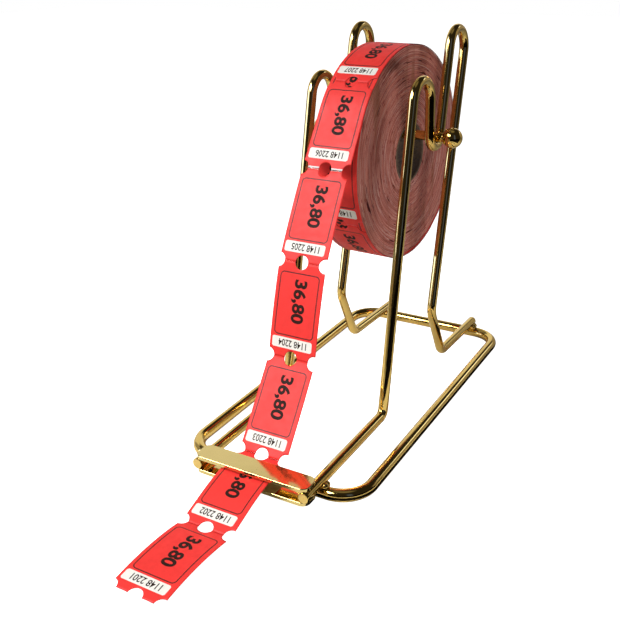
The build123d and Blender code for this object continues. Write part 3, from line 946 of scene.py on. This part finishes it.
# Metal sees a dark room with soft bright boxes: mask = inside in azimuth times inside in elevation, both from the
# direction. Paper is lit by a grey that is dimmer overhead, and the camera sees white.
def buildWorld():
    world = bpy.data.worlds.new("studioWorld")
    bpy.context.scene.world = world
    world.use_nodes = True
    world.node_tree.nodes.clear()
    g = Graph(world.node_tree)
    direction = g.add("TexCoord").outputs["Generated"]
    x, y, z = g.add("SeparateXYZ", {0: direction}).outputs
    azimuth = g.math("ARCTAN2", x, g.times(y, -1.0))
    elevation = g.math("ARCSINE", z)
    colour = g.mix(g.ramp(z, *studio["zenithFrom"]), studio["dark"], studio["zenith"])
    for azFrom, azTo, elFrom, elTo, soft, tone in studio["boxes"]:
        masks = []
        for angle, low, high in ((azimuth, azFrom, azTo), (elevation, elFrom, elTo)):
            middle, half = math.radians((low + high) / 2), math.radians((high - low) / 2)
            away = g.math("ABSOLUTE", g.math("WRAP", g.minus(angle, middle), math.pi, -math.pi))
            masks.append(g.ramp(away, half - math.radians(soft) / 2, half + math.radians(soft) / 2, 1.0, 0.0))
        colour = g.mix(g.times(*masks), colour, (*tone, 1))
    room, soft, white = (g.add("Background", {"Color": tone, "Strength": level}).outputs[0] for tone, level in
                         ((colour, 1.0), ((1, 1, 1, 1), g.ramp(z, *studio["soft"])), ((1, 1, 1, 1), 1.0)))
    path = g.add("LightPath").outputs
    lit = g.add("MixShader", {0: path["Is Glossy Ray"], 1: soft, 2: room}).outputs[0]
    mixed = g.add("MixShader", {0: path["Is Camera Ray"], 1: lit, 2: white}).outputs[0]
    g.add("OutputWorld", {0: mixed})


def buildLights():
    for name, place, aim, size, power, spread, glossy in studio["lights"]:
        data = bpy.data.lights.new(name, "AREA")
        data.shape = "RECTANGLE"
        data.size, data.size_y = size
        data.energy = power
        data.spread = math.radians(spread)
        item = newItem(name, data)
        item.location = place
        item.rotation_euler = (Vector(aim) - Vector(place)).to_track_quat("-Z", "Y").to_euler()
        item.visible_glossy = glossy


buildWorld()
buildLights()

floor = {
    "low": (0.90, 0.90, 0.89, 1), "high": (0.93, 0.93, 0.92, 1), "grainScale": 60.0, "glow": 1.1,
    "bounce": (0.46, 0.46, 0.45, 1), "mirrored": (0.80, 0.80, 0.78, 1), "half": 3.0, "lines": 21, "drop": 0.0002,
}


# Flat grid under the stand. Its paint glows a little towards the camera, so that it stays as pale as the photograph's.
def buildFloor():
    f = floor
    material, g, shader = newMaterial("paleFloor")
    path = g.add("LightPath").outputs
    pale = g.mix(g.noise(g.place(), f["grainScale"], 2.0), f["low"], f["high"])
    bounce = g.mix(path["Is Glossy Ray"], f["bounce"], f["mirrored"])
    g.fill(shader, {"Base Color": g.mix(path["Is Camera Ray"], bounce, pale),
                    "Emission Strength": g.times(path["Is Camera Ray"], f["glow"]),
                    "Emission Color": (1, 1, 1, 1), "Roughness": 0.9, "Specular IOR Level": 0.1})
    side = np.linspace(-f["half"], f["half"], f["lines"])
    x, y = np.meshgrid(side, side, indexing="ij")
    verts = np.stack([x, y, np.zeros_like(x) - f["drop"]], axis=-1).reshape(-1, 3)
    item = makeObject("floor", verts, gridFaces(f["lines"], f["lines"])[:, ::-1], [material])


buildFloor()

flags = {
    "low": (0.004, 0.004, 0.004, 1), "high": (0.012, 0.010, 0.009, 1), "scale": 80.0, "height": 0.0002,
    # sector: azimuth in degrees, radius in metres, middle, and the mesh both ways
    "from": -2, "to": 117, "inner": 0.24, "outer": 4.2, "middle": (0.0, -0.002), "rings": 5, "columns": 24,
    # strip just outside the base rail: painted shade, the rail's shadow on the counter as the metal reflects it
    "rail": {"from": 0.0215, "to": 0.038, "corner": (0.037, -0.04423), "start": 0.01, "end": 0.16, "turns": 10},
    "arc": {"radius": 0.15, "from": 8, "to": 112, "height": 0.03},
}


# Black cards that lie on the counter, as flags in a studio do: a ring sector in front of the stand, radius and
# # azimuth on a grid, a strip round the right front corner of the base and a low upright arc. The strip is painted
# # shade: the base rail's shadow on the counter, which the rail reflects. Only reflections see them: the metal's dark
# # lines.
def buildFlags():
    f, rail, arc = flags, flags["rail"], flags["arc"]
    material, g, shader = newMaterial("blackCard")
    g.fill(shader, {"Base Color": g.mix(g.noise(g.place(), f["scale"]), f["low"], f["high"]), "Roughness": 1.0,
                    "Specular IOR Level": 0.0})
    r, a = np.meshgrid(np.geomspace(f["inner"], f["outer"], f["rings"]),
                       np.radians(np.linspace(f["from"], f["to"], f["columns"])), indexing="ij")
    sector = np.stack([f["middle"][0] + r * np.sin(a), f["middle"][1] - r * np.cos(a)], axis=-1).reshape(-1, 2)
    bend = np.radians(np.linspace(0, 90, rail["turns"]))
    beside = []
    for away in (rail["from"], rail["to"]):
        x, y = rail["corner"][0] + away * np.sin(bend), rail["corner"][1] - away * np.cos(bend)
        beside.append(np.column_stack([np.r_[rail["start"], x, x[-1]], np.r_[y[0], y, rail["end"]]]))
    turn = np.radians(np.linspace(arc["from"], arc["to"], f["columns"]))
    line = arc["radius"] * np.column_stack([np.sin(turn), -np.cos(turn)])
    flat = np.concatenate([sector, *beside, line, line])
    height = np.full(len(flat), f["height"])
    height[-len(line):] = arc["height"]
    count = len(beside[0])
    faces = np.concatenate([gridFaces(f["rings"], f["columns"]), gridFaces(2, count, offset=len(sector)),
                            gridFaces(2, f["columns"], offset=len(sector) + 2 * count)])
    item = makeObject("flagCard", np.column_stack([flat, height]), faces, [material])
    for kind in ("camera", "diffuse", "shadow", "transmission"):
        setattr(item, f"visible_{kind}", False)


buildFlags()
bpy.context.scene.view_settings.view_transform = "Standard"
print("studio made")
